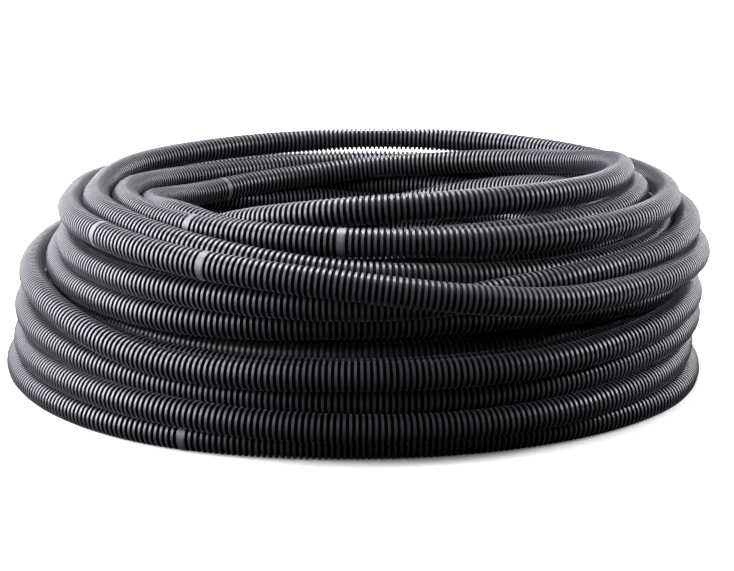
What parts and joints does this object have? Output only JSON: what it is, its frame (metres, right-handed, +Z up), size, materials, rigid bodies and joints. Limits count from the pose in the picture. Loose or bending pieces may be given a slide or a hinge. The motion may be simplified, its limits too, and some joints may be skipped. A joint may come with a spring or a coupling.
{
  "type": "coil of corrugated conduit",
  "caption": "Loose coil of black corrugated plastic conduit, lying flat, that guides and protects electrical wires pulled through its bore.",
  "frame": {"origin": "on the floor, under the middle of the coil's eye", "axes": "+Z up through the coil's eye; the free end lies behind the coil, at +Y, and points along -X"},
  "size_m": [0.558, 0.558, 0.161],
  "materials": {
    "conduit_plastic": "satin black moulded plastic with even round waves, a soft sheen along their crests"
  },
  "bodies": {
    "root": {"conduit": "conduit_plastic"}
  },
  "joints": []
}
